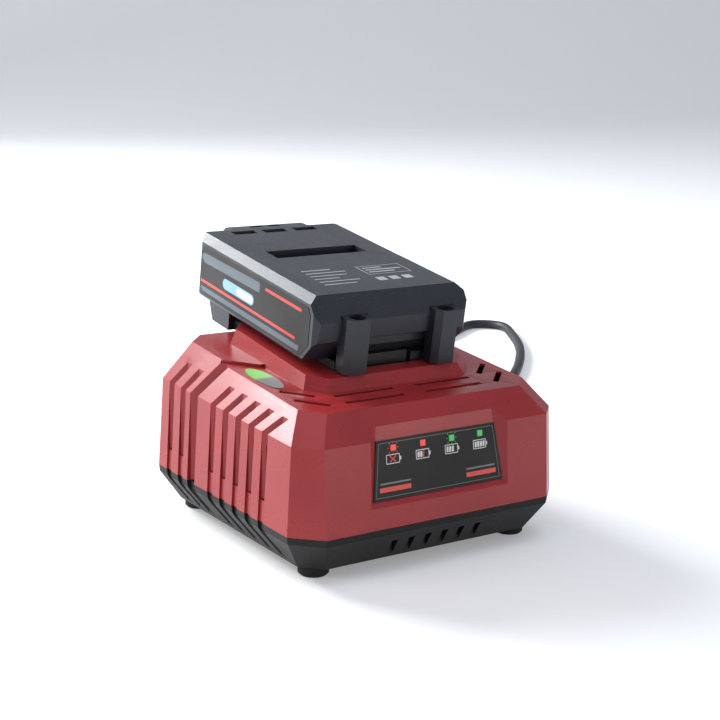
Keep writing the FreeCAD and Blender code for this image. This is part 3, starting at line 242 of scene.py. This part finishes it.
def splitFinish(name, axis, edge, soft, low, high, roughness, glow=0.0):
    # two colours, one on each side of a plane across an axis of the piece, with a soft border between them
    material, tree, shader = newMaterial(name)
    place = tree.nodes.new("ShaderNodeTexCoord")
    parts = tree.nodes.new("ShaderNodeSeparateXYZ")
    tree.links.new(place.outputs["Object"], parts.inputs[0])
    mottle = placed(tree, "mould", Scale=1200.0).outputs["Mottle"]
    wander = calculate(tree, "MULTIPLY", calculate(tree, "SUBTRACT", mottle, 0.5), soft * 3)
    where = calculate(tree, "ADD", parts.outputs[axis], wander)
    colour = mixColour(tree, ramp(tree, where, 0, 1, edge - soft, edge + soft), low, high)
    tree.links.new(colour, shader.inputs["Base Color"])
    if glow:
        tree.links.new(colour, shader.inputs["Emission Color"])
        shader.inputs["Emission Strength"].default_value = glow
    tree.links.new(ramp(tree, mottle, roughness * 0.8, roughness * 1.2), shader.inputs["Roughness"])
    return material


materials = {
    "red_plastic": mouldedPlastic("redPlastic", (0.345, 0.024, 0.026), (0.305, 0.02, 0.022), (0.3, 0.38),
                                  dust=0.2, specular=0.42),
    "black_plastic": mouldedPlastic("blackPlastic", (0.008, 0.0075, 0.0075), (0.006, 0.0055, 0.0055),
                                    (0.42, 0.52), dust=0.2, specular=0.24),
    "battery_plastic": mouldedPlastic("batteryPlastic", (0.024, 0.028, 0.036), (0.019, 0.022, 0.029),
                                      (0.36, 0.46), dust=0.3, specular=0.45),
    "foot_rubber": mouldedPlastic("footRubber", (0.009, 0.009, 0.009), (0.014, 0.014, 0.014), (0.7, 0.85),
                                  900.0, specular=0.3),
    "block_black": mouldedPlastic("blockBlack", (0.02, 0.02, 0.02), (0.03, 0.03, 0.03)),
    "cord_rubber": mouldedPlastic("cordRubber", (0.014, 0.014, 0.016), (0.02, 0.02, 0.022), (0.5, 0.6)),
    "label_black": plainFinish("labelSheet", (0.007, 0.008, 0.009), 0.34, specular=0.2),
    "battery_label": plainFinish("packLabel", (0.022, 0.021, 0.02), 0.42, specular=0.25),
    "lens_clear": splitFinish("lensTinted", "X", 0.0, 0.001, (0.75, 0.045, 0.03), (0.03, 0.42, 0.09),
                              0.25, 0.25),
    "green_sticker": splitFinish("ovalSheet", "Y", -0.0075, 0.0012, (0.1, 0.11, 0.11), (0.13, 0.52, 0.05),
                                 0.3),
    "led_white": plainFinish("ledBody", (0.8, 0.8, 0.72), 0.3),
    "board_green": plainFinish("solderMask", (0.02, 0.13, 0.05), 0.35),
    "steel": plainFinish("zincSteel", (0.6, 0.6, 0.62), 0.32, 1.0),
    "brass": plainFinish("platedBrass", (0.78, 0.62, 0.32), 0.25, 1.0),
    "nickel": plainFinish("nickelStrip", (0.7, 0.67, 0.6), 0.25, 1.0),
    "heat_sink_aluminium": plainFinish("heatSink", (0.8, 0.8, 0.82), 0.35, 1.0),
    "ferrite": plainFinish("ferrite", (0.06, 0.06, 0.065), 0.6),
    "copper_winding": plainFinish("winding", (0.5, 0.2, 0.06), 0.35),
    "capacitor_sleeve": plainFinish("capacitorSleeve", (0.02, 0.04, 0.09), 0.25),
    "fuse_glass": plainFinish("fuseBody", (0.75, 0.76, 0.72), 0.3),
    "cell_sleeve": plainFinish("cellSleeve", (0.05, 0.2, 0.42), 0.3),
}
for name, node in nodes.items():
    node.data.materials.clear()
    node.data.materials.append(materials[slotOf[name]])
print("materials", len(materials))

# CAD shells whose edges show: a copy with its moulded edges rounded stands for each, by this width in metres
softEdges = {"top_cover": 0.0007, "base_cover": 0.0006, "battery_top_shell": 0.0006,
             "battery_rail_shell": 0.0005, "release_latch": 0.0005, "plug_body": 0.0016, "plug_pins": 0.0004,
             "dock_terminal_block": 0.0004}
edgeRules = {"merge": 2e-6, "flat": 0.6, "sharp": 4, "rounded": 9, "segments": 2}  # metres, then degrees


def softenEdges(name, width, p):
    mesh = nodes[name].data.copy()
    work = bmesh.new()
    work.from_mesh(mesh)
    bmesh.ops.remove_doubles(work, verts=work.verts, dist=p["merge"])
    bmesh.ops.dissolve_limit(work, angle_limit=math.radians(p["flat"]), verts=work.verts, edges=work.edges)
    work.to_mesh(mesh)
    work.free()
    mesh.shade_smooth()
    mesh.set_sharp_from_angle(angle=math.radians(p["sharp"]))
    piece = addObject(name + "_moulded", mesh)
    edge = piece.modifiers.new("edges", "BEVEL")
    edge.width, edge.segments = width, p["segments"]
    edge.limit_method, edge.angle_limit = "ANGLE", math.radians(p["rounded"])
    edge.harden_normals, edge.use_clamp_overlap, edge.miter_outer = True, True, "MITER_ARC"
    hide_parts(name)
    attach(piece, bodyOf[name])
    return piece


moulded = {name: softenEdges(name, width, edgeRules) for name, width in softEdges.items()}
print("moulded shells", len(softEdges))


def makePiece(name, points, faces, finish, body, smooth=None):
    # closed mesh with its faces turned outwards; edges over the angle smooth, in degrees, stay sharp
    mesh = bpy.data.meshes.new(name)
    mesh.from_pydata(points.tolist(), [], faces)
    work = bmesh.new()
    work.from_mesh(mesh)
    bmesh.ops.recalc_face_normals(work, faces=work.faces)
    work.to_mesh(mesh)
    work.free()
    if smooth:
        mesh.shade_smooth()
        mesh.set_sharp_from_angle(angle=math.radians(smooth))
    mesh.materials.append(materials[finish])
    piece = addObject(name, mesh)
    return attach(piece, body)


# Printed shapes: closed plates on a sheet's own plane
inks = {
    "inkWhite": (0.72, 0.73, 0.72), "inkPale": (0.42, 0.44, 0.45), "inkRed": (0.75, 0.045, 0.025),
    "inkGrey": (0.13, 0.16, 0.18), "inkSteel": (0.085, 0.12, 0.145), "inkBlue": (0.28, 0.52, 0.72),
    "inkGreen": (0.03, 0.42, 0.09),
}
for name, colour in inks.items():
    materials[name] = plainFinish(name, colour, 0.34, strength=0.05)


def printed(name, outlines, ink, onSheet, body, thick=0.00005):
    # each outline, in millimetres on the sheet, becomes a low prism: a cap below, a cap above, a wall between
    points, faces, base = [], [], 0
    for outline in outlines:
        flat = np.asarray(outline, float) / 1000
        count = len(flat)
        points += [np.column_stack([flat, np.full(count, level)]) for level in (0.0, thick)]
        ring = np.arange(count)
        after = np.roll(ring, -1)
        faces += [(ring[::-1] + base).tolist(), (ring + count + base).tolist()]
        faces += (np.column_stack([ring, after, after + count, ring + count]) + base).tolist()
        base += 2 * count
    return makePiece(name, onSheet(np.vstack(points)), faces, ink, body)


def bar(x0, y0, x1, y1, slant=0.0):
    return [(x0, y0), (x1, y0), (x1 + slant, y1), (x0 + slant, y1)]


def stroke(a, b, wide):
    # thin quadrilateral along a to b
    a, b = np.array(a, float), np.array(b, float)
    side = np.array([b[1] - a[1], a[0] - b[0]]) / np.linalg.norm(b - a) * wide / 2
    return [tuple(a - side), tuple(b - side), tuple(b + side), tuple(a + side)]


def pill(v0, v1, w0, w1, count=10):
    # bar whose ends are half circles
    radius = (w1 - w0) / 2
    turn = np.linspace(-math.pi / 2, math.pi / 2, count)
    near = [(v1 - radius + radius * math.cos(t), w0 + radius + radius * math.sin(t)) for t in turn]
    far = [(v0 + radius - radius * math.cos(t), w0 + radius - radius * math.sin(t)) for t in turn]
    return near + far


def frameLines(corners, wide):
    return [stroke(a, b, wide) for a, b in zip(corners, corners[1:] + corners[:1])]


# Front label: a lamp with a battery sign below it four times, rays round the lamps that blink
# (lean in degrees, foot and sheet in metres, the rest in millimetres)
frontLabel = {
    "lean": 8.45, "foot": (-0.0677, 0.0325), "sheet": 0.0005,
    "lampX": (-22.8, -7.6, 7.6, 22.8), "lampHeight": 21.6,
    "signHeight": 16.9, "signWide": 6.6, "signTall": 3.7, "line": 0.32, "left": 0.3,
    "cap": (0.25, 0.85, 0.75),  # near end, far end and half height of the battery's nub
    "cells": (0, 2, 3, 4), "cellWide": 1.05, "cellStep": 1.42, "cellSlant": 0.12, "margin": 0.65,
    "cross": (1.5, 0.6, 0.55),  # reach, inset and width of the first sign's cross
    "slash": (3.6, 4.1, 0.5, 0.6),  # foot, head, inset and width of the second sign's slash
    "rayCount": 8, "rayReach": (2.0, 2.3), "rayLong": 0.75, "rayWide": 0.3,
    "border": [(-32.6, 1.3), (32.6, 1.3), (29.9, 24.0), (-29.9, 24.0)], "borderWide": 0.22,
    "redBars": [bar(-30.6, 3.4, -14.6, 5.4), bar(14.6, 3.4, 30.6, 5.4)],
    "greyBars": [bar(-30.1, 6.6, -14.6, 7.3), bar(14.6, 6.6, 30.1, 7.3)],
}


def onFrontLabel(points):
    # (x, up, out) on the sheet, leaned back about its foot
    c, s = math.cos(math.radians(frontLabel["lean"])), math.sin(math.radians(frontLabel["lean"]))
    out = points[:, 2] + frontLabel["sheet"]
    return np.column_stack([points[:, 0], frontLabel["foot"][0] + points[:, 1] * s - out * c,
                            frontLabel["foot"][1] + points[:, 1] * c + out * s])


def lampRays(x, p):
    # strokes that point away from the lamp, every second one a little further out
    middle = np.array([x, p["lampHeight"]])
    rays = []
    for i in range(p["rayCount"]):
        angle = i * 2 * math.pi / p["rayCount"]
        way = np.array([math.cos(angle), math.sin(angle)])
        reach = p["rayReach"][i % 2]
        rays.append(stroke(middle + way * reach, middle + way * (reach + p["rayLong"]), p["rayWide"]))
    return rays


def makeFrontPrint(p):
    white, red, green = [], [], []
    middleHeight = p["signHeight"]
    low, high = middleHeight - p["signTall"] / 2, middleHeight + p["signTall"] / 2
    capNear, capFar, capHalf = p["cap"]
    margin, cellWide = p["margin"], p["cellWide"]
    for k, x in enumerate(p["lampX"]):
        left, right = x - p["signWide"] / 2 - p["left"], x + p["signWide"] / 2 - p["left"]
        white += frameLines([(left, low), (right, low), (right, high), (left, high)], p["line"])
        white.append(bar(right + capNear, middleHeight - capHalf, right + capFar, middleHeight + capHalf))
        for i in range(p["cells"][k]):
            start = left + margin + p["cellStep"] * i
            white.append(bar(start, low + margin, start + cellWide, high - margin, p["cellSlant"]))
        if k == 0:
            middle = (left + right) / 2
            reach, inset, wide = p["cross"]
            red += [stroke((middle - reach, low + inset), (middle + reach, high - inset), wide),
                    stroke((middle - reach, high - inset), (middle + reach, low + inset), wide)]
        if k == 1:
            foot, head, inset, wide = p["slash"]
            red.append(stroke((left + foot, low + inset), (left + head, high - inset), wide))
    red += lampRays(p["lampX"][0], p) + p["redBars"]
    green += lampRays(p["lampX"][2], p)
    border = frameLines(p["border"], p["borderWide"])
    prints = {"label_signs": (white, "inkWhite"), "label_red": (red, "inkRed"),
              "label_green": (green, "inkGreen"), "label_border": (border, "inkGrey"),
              "label_bars": (p["greyBars"], "inkGrey")}
    for name, (shapes, ink) in prints.items():
        printed(name, shapes, ink, onFrontLabel, "charger")


makeFrontPrint(frontLabel)

# Side labels of the pack: broad and narrow stripes along it and a rounded bar, the same on both sides
sideLabel = {
    "out": 0.0406 + 0.00016,  # pack's side and the sheet on it, in metres
    "inkSteel": [[(52.5, 22.6), (104.5, 21.4), (107.4, 22.8), (107.4, 24.6), (105.6, 26.0), (52.5, 27.2)],
                 [(17.0, 7.4), (105.0, 7.4), (107.2, 9.6), (16.2, 10.0)]],
    "inkRed": [bar(20.0, 11.6, 107.2, 12.9), bar(16.5, 25.2, 47.5, 26.6)],
    "inkBlue": [pill(57.0, 86.0, 14.6, 19.6)],
    "inkWhite": [pill(57.8, 73.0, 15.4, 18.8)],
    "thick": {"inkSteel": 0.00007, "inkRed": 0.00007, "inkBlue": 0.00007, "inkWhite": 0.0001},
}


def makeSidePrint(p):
    for side, where in ((-1, "left"), (1, "right")):
        def onSide(points, side=side):
            return dockPlace(np.column_stack([side * (points[:, 2] + p["out"]), points[:, 0], points[:, 1]]))
        for ink, thick in p["thick"].items():
            printed("pack_%s_%s" % (where, ink), p[ink], ink, onSide, "battery", thick)


makeSidePrint(sideLabel)

# Pale print on the pack's top: rows of plain bars, three squares and a thin frame
topPrint = {
    "level": 0.0336,  # metres above the dock's plane
    "rows": (24.0, 28.0, 32.0, 36.0, 40.0, 44.0), "lengths": (17.0, 21.0, 13.0, 19.0, 21.0, 15.0),
    "left": -25.0, "tall": 0.8, "squaresX": (4.0, 11.0, 18.0), "squaresV": (24.0, 28.5), "squareWide": 4.5,
    "frame": [(4.0, 33.0), (27.0, 33.0), (27.0, 44.5), (4.0, 44.5)], "frameWide": 0.35,
    "inside": [bar(6.0, 35.5, 20.0, 36.6), bar(6.0, 38.5, 25.0, 39.6), bar(6.0, 41.5, 16.0, 42.4)],
}


def makeTopPrint(p):
    def onTop(points):
        return dockPlace(np.column_stack([points[:, 0], points[:, 1], points[:, 2] + p["level"]]))
    rows = [bar(p["left"], v, p["left"] + wide, v + p["tall"]) for v, wide in zip(p["rows"], p["lengths"])]
    near, far = p["squaresV"]
    squares = [bar(x, near, x + p["squareWide"], far) for x in p["squaresX"]]
    shapes = rows + squares + frameLines(p["frame"], p["frameWide"]) + p["inside"]
    printed("pack_top_print", shapes, "inkPale", onTop, "battery")


makeTopPrint(topPrint)
print("printed shapes")


def ringsAlong(line, radii, side, up, around):
    # a circle of each radius at each point of the line, turned into the directions side and up there
    turn = np.linspace(0, 2 * math.pi, around, endpoint=False)
    spokes = np.cos(turn)[None, :, None] * side[:, None] + np.sin(turn)[None, :, None] * up[:, None]
    return line[:, None] + radii[:, None, None] * spokes


def ringFaces(rows, around, first=0):
    # quads from each ring to the next, with the numbers of the points ring by ring
    index = np.arange(rows * around).reshape(rows, around) + first
    after = np.roll(index, -1, axis=1)
    faces = np.stack([index[:-1], after[:-1], after[1:], index[1:]], axis=-1).reshape(-1, 4)
    return index, after, faces.tolist()


# Springs above the release button
springs = {"across": 0.006, "along": 0.104, "foot": -0.0025, "tall": 0.0095, "wide": 0.005, "wire": 0.0006,
           "turns": 6.0, "flatTurn": 0.7, "creep": 0.12, "steps": 361, "around": 10, "smooth": 180,
           "travel": 0.0036}


def makeSprings(p):
    # helix whose first and last turns lie nearly flat: the height is a share of the angle; a round wire is
    # carried along it, with rings square to the helix
    share = np.linspace(0, 1, p["steps"])
    angle = share * p["turns"] * 2 * math.pi
    flat = p["flatTurn"] / p["turns"]
    climb = np.clip((share - flat) / (1 - 2 * flat), 0, 1)
    rise = p["wire"] / 2 + (p["tall"] - p["wire"]) * (p["creep"] * share + (1 - p["creep"]) * climb)
    radius = (p["wide"] - p["wire"]) / 2
    out = np.column_stack([np.cos(angle), np.sin(angle), np.zeros_like(angle)])
    points, faces = [], []
    for side in (-1, 1):
        line = np.column_stack([side * p["across"] + radius * np.cos(angle),
                                p["along"] + radius * np.sin(angle), p["foot"] + rise])
        heading = np.gradient(line, axis=0)
        heading /= np.linalg.norm(heading, axis=1)[:, None]
        grid = ringsAlong(line, np.full(len(line), p["wire"] / 2), out, np.cross(heading, out), p["around"])
        index, after, quads = ringFaces(*grid.shape[:2], first=len(points) * p["steps"] * p["around"])
        faces += quads + [index[0].tolist(), index[-1][::-1].tolist()]
        points.append(grid.reshape(-1, 3))
    piece = makePiece("release_springs", dockPlace(np.vstack(points)), faces, "steel", "battery",
                      p["smooth"])
    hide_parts("latch_springs")
    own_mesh(piece)


makeSprings(springs)
print("springs")

# Cord: sizes in metres, leads in diameters, then the route's points; the coil's turns come after them
cord = {"diameter": 0.0064, "length": 1.70, "exit": (0.034, 0.0734, 0.021), "round": 5, "smooth": 8,
        "coilRadius": 0.044, "pitch": 0.007, "turnsIn": 5, "turnsOut": 3, "perHalfTurn": 8,
        "leadIn": 0.6, "leadOut": 0.4}
cordRoute = [
    (0.034, 0.058, 0.021), (0.034, 0.1, 0.021), (0.031, 0.138, 0.0033), (0.048, 0.17, 0.0033),
    (0.076, 0.203, 0.0033), (0.116, 0.231, 0.0033), (0.163, 0.255, 0.0033), (0.211, 0.272, 0.0033),
    (0.254, 0.285, 0.0033), (0.289, 0.303, 0.0033), (0.316, 0.322, 0.0033), (0.328, 0.3217, 0.0033),
    (0.337, 0.3138, 0.0033), (0.339, 0.302, 0.0033), (0.327, 0.281, 0.0033), (0.303, 0.241, 0.0033),
    (0.266, 0.198, 0.0033), (0.229, 0.163, 0.0033), (0.19, 0.133, 0.0033), (0.165, 0.1162, 0.0033),
]


def coilPoints(route, c):
    # half turns about points that step to and fro, each half a pitch tighter going in, then wider going out;
    # the middle half turn climbs one pitch
    start, before = Vector(route[-1]), Vector(route[-2])
    heading = (start - before).normalized()
    side = Vector((heading.y, -heading.x, 0))
    spot = start + heading * c["diameter"]
    points = [start, start + heading * c["diameter"] * c["leadIn"]]
    step = math.pi / c["perHalfTurn"]
    for k in range(c["turnsIn"] + 1 + c["turnsOut"]):
        inwards = k if k <= c["turnsIn"] else 2 * c["turnsIn"] - k
        radius = c["coilRadius"] - inwards * c["pitch"] / 2
        reach = radius / math.cos(step / 2)
        middle = spot + side * radius
        rise = c["pitch"] if k == c["turnsIn"] else 0.0
        for i in range(c["perHalfTurn"]):
            part = (i + 0.5) / c["perHalfTurn"]
            angle = part * math.pi
            lift = rise * part * part * (3 - 2 * part)
            points.append(middle - side * math.cos(angle) * reach + heading * math.sin(angle) * reach
                          + Vector((0, 0, lift)))
        spot = spot + side * 2 * radius + Vector((0, 0, rise))
        heading, side = -heading, -side
    return points + [spot + heading * c["diameter"] * c["leadOut"], spot + heading * c["diameter"]]


# Strain relief, in metres: its start, flange and end along Y, then its radii. Its start is looked for among the
# cord line's first points.
strainRelief = {"start": 0.0624, "flange": (0.0709, 0.0734), "end": 0.098, "ribs": 6, "around": 40,
                "bore": 0.0034, "grip": 0.0056, "gripLong": 0.003, "neck": 0.0045, "rim": 0.0064,
                "ribWide": 0.0054, "taper": 0.0011, "groove": 0.0007, "tip": 0.0038, "tipBore": 0.0033,
                "searched": 40, "nudge": 0.001, "sharp": 35}


def reliefProfile(first, r):
    # distance along the cord and radius: grip, neck and flange in steps, then ribs that taper between grooves
    wall0, wall1 = (first + y - r["start"] for y in r["flange"])
    last = first + r["end"] - r["start"]
    steps = [(first, r["bore"]), (first, r["grip"]), (first + r["gripLong"], r["grip"]),
             (first + r["gripLong"] + 0.0002, r["neck"]), (wall0, r["neck"]), (wall0, r["rim"] - 0.0004),
             (wall0 + 0.0004, r["rim"]), (wall1 - 0.0004, r["rim"]), (wall1, r["rim"] - 0.0004)]
    pitch = (last - wall1) / r["ribs"]
    for k in range(r["ribs"]):
        wide = r["ribWide"] - r["taper"] * k / (r["ribs"] - 1)
        begin, low = wall1 + k * pitch, wide - r["groove"]
        steps += [(begin, low), (begin + 0.25 * pitch, low), (begin + 0.32 * pitch, wide),
                  (begin + 0.9 * pitch, wide - 0.0002), (begin + 0.97 * pitch, low)]
    return np.array(steps + [(last, r["tip"]), (last, r["tipBore"])]).T


def makeStrainRelief(curveObject, r):
    # rings square to the cord's own line, with the profile's radii
    line = bpy.data.meshes.new_from_object(curveObject)
    points = np.array([v.co[:] for v in line.vertices])
    bpy.data.meshes.remove(line)
    along = np.concatenate([[0.0], np.cumsum(np.linalg.norm(np.diff(points, axis=0), axis=1))])
    first = np.interp(r["start"], points[:r["searched"], 1], along[:r["searched"]])
    where, radii = reliefProfile(first, r)
    centre, ahead, behind = (np.column_stack([np.interp(where + move, along, points[:, k]) for k in range(3)])
                             for move in (0.0, r["nudge"], -r["nudge"]))
    heading = (ahead - behind) / np.linalg.norm(ahead - behind, axis=1)[:, None]
    side = np.cross(heading, (0.0, 0.0, 1.0))
    side /= np.linalg.norm(side, axis=1)[:, None]
    grid = ringsAlong(centre, radii, side, np.cross(side, heading), r["around"])
    index, after, faces = ringFaces(*grid.shape[:2])
    faces += np.stack([index[-1], after[-1], after[0], index[0]], axis=-1).tolist()
    piece = makePiece("strain_relief", grid.reshape(-1, 3), faces, "cord_rubber", "charger",
                      r["sharp"])
    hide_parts("cord_grommet")


def makeCord(c):
    curve = bpy.data.curves.new("mains_cord", "CURVE")
    curve.dimensions, curve.bevel_resolution, curve.resolution_u = "3D", c["round"], c["smooth"]
    curve.use_fill_caps = True
    points = [Vector(p) for p in cordRoute[:-1]] + coilPoints(cordRoute, c)
    spline = curve.splines.new("NURBS")
    spline.points.add(len(points) - 1)
    for spot, p in zip(spline.points, points):
        spot.co = (*p, 1.0)
    spline.order_u = 3
    spline.use_endpoint_u = True
    piece = addObject("mains_cord", curve)
    makeStrainRelief(piece, strainRelief)
    curve.bevel_depth = c["diameter"] / 2
    curve.materials.append(materials["cord_rubber"])
    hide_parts("cord_run", "cord_coil")
    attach(piece, "charger")


makeCord(cord)
print("cord")

# Studio: a pale floor that turns up into a backdrop, a window behind at the left whose image lies on the
# upper bevels, a lower one at the left for the ribbed side, a soft ceiling and a weak fill from the right
studio = {
    "floor": (0.8, 0.8, 0.8), "floorRoughness": 0.75, "seen": 0.25,
    "sweep": {"front": -3.0, "turn": 2.2, "radius": 0.8, "steps": 13, "top": 3.5, "half": 4.5},
    "world": (0.6, 0.65, 0.78), "worldStrength": 0.5,
    "lit": (0, 0, 0.06),  # where the lamps point
    "lamps": {  # power in watts, place, width and height in metres, colour
        "highWindow": (60.0, (-0.58, 1.53, 1.03), (0.8, 0.8), (0.95, 0.98, 1.0)),
        "ceiling": (10.0, (0.1, -0.35, 1.9), (1.8, 1.2), (0.9, 0.94, 1.0)),
        "sideWindow": (10.5, (-1.55, 0.42, 0.5), (0.9, 0.9), (1.0, 0.92, 0.84)),
        "frontFill": (7.5, (0.6, -1.6, 0.16), (1.2, 0.5), (1.0, 0.92, 0.82)),
    },
}


def makeFloor(s):
    # flat floor, then a quarter circle up to a wall, as a profile carried along X
    sweep = s["sweep"]
    curve = [(sweep["turn"] + sweep["radius"] * math.sin(t), sweep["radius"] * (1 - math.cos(t)))
             for t in np.linspace(0, math.pi / 2, sweep["steps"])]
    profile = [(sweep["front"], 0.0)] + curve + [(sweep["turn"] + sweep["radius"], sweep["top"])]
    points = [(x, y, z) for y, z in profile for x in (-sweep["half"], sweep["half"])]
    mesh = bpy.data.meshes.new("floor")
    mesh.from_pydata(points, [], [(2 * i, 2 * i + 1, 2 * i + 3, 2 * i + 2) for i in range(len(profile) - 1)])
    mesh.shade_smooth()
    material, tree, shader = newMaterial("paleFloor")
    shader.inputs["Base Color"].default_value = (*s["floor"], 1)
    shader.inputs["Roughness"].default_value = s["floorRoughness"]
    shader.inputs["Emission Color"].default_value = (1, 1, 1, 1)
    light = tree.nodes.new("ShaderNodeLightPath")
    seen = calculate(tree, "ADD", light.outputs["Is Camera Ray"], light.outputs["Is Glossy Ray"])
    seen = calculate(tree, "ADD", seen, light.outputs["Is Transmission Ray"])
    tree.links.new(calculate(tree, "MULTIPLY", calculate(tree, "MINIMUM", seen, 1.0), s["seen"]),
                   shader.inputs["Emission Strength"])
    mesh.materials.append(material)
    addObject("floor", mesh)


def makeLights(s):
    world = bpy.data.worlds.new("world")
    world.use_nodes = True
    background = world.node_tree.nodes["Background"]
    background.inputs["Color"].default_value = (*s["world"], 1)
    background.inputs["Strength"].default_value = s["worldStrength"]
    bpy.context.scene.world = world
    for name, (power, spot, wide, colour) in s["lamps"].items():
        data = bpy.data.lights.new(name, "AREA")
        data.shape, data.energy, data.color = "RECTANGLE", power, colour
        data.size, data.size_y = wide
        lamp = addObject(name, data)
        lamp.location = spot
        lamp.rotation_euler = (Vector(s["lit"]) - Vector(spot)).to_track_quat("-Z", "Y").to_euler()


makeFloor(studio)
makeLights(studio)
bpy.context.scene.view_settings.view_transform = "Standard"
print("studio")
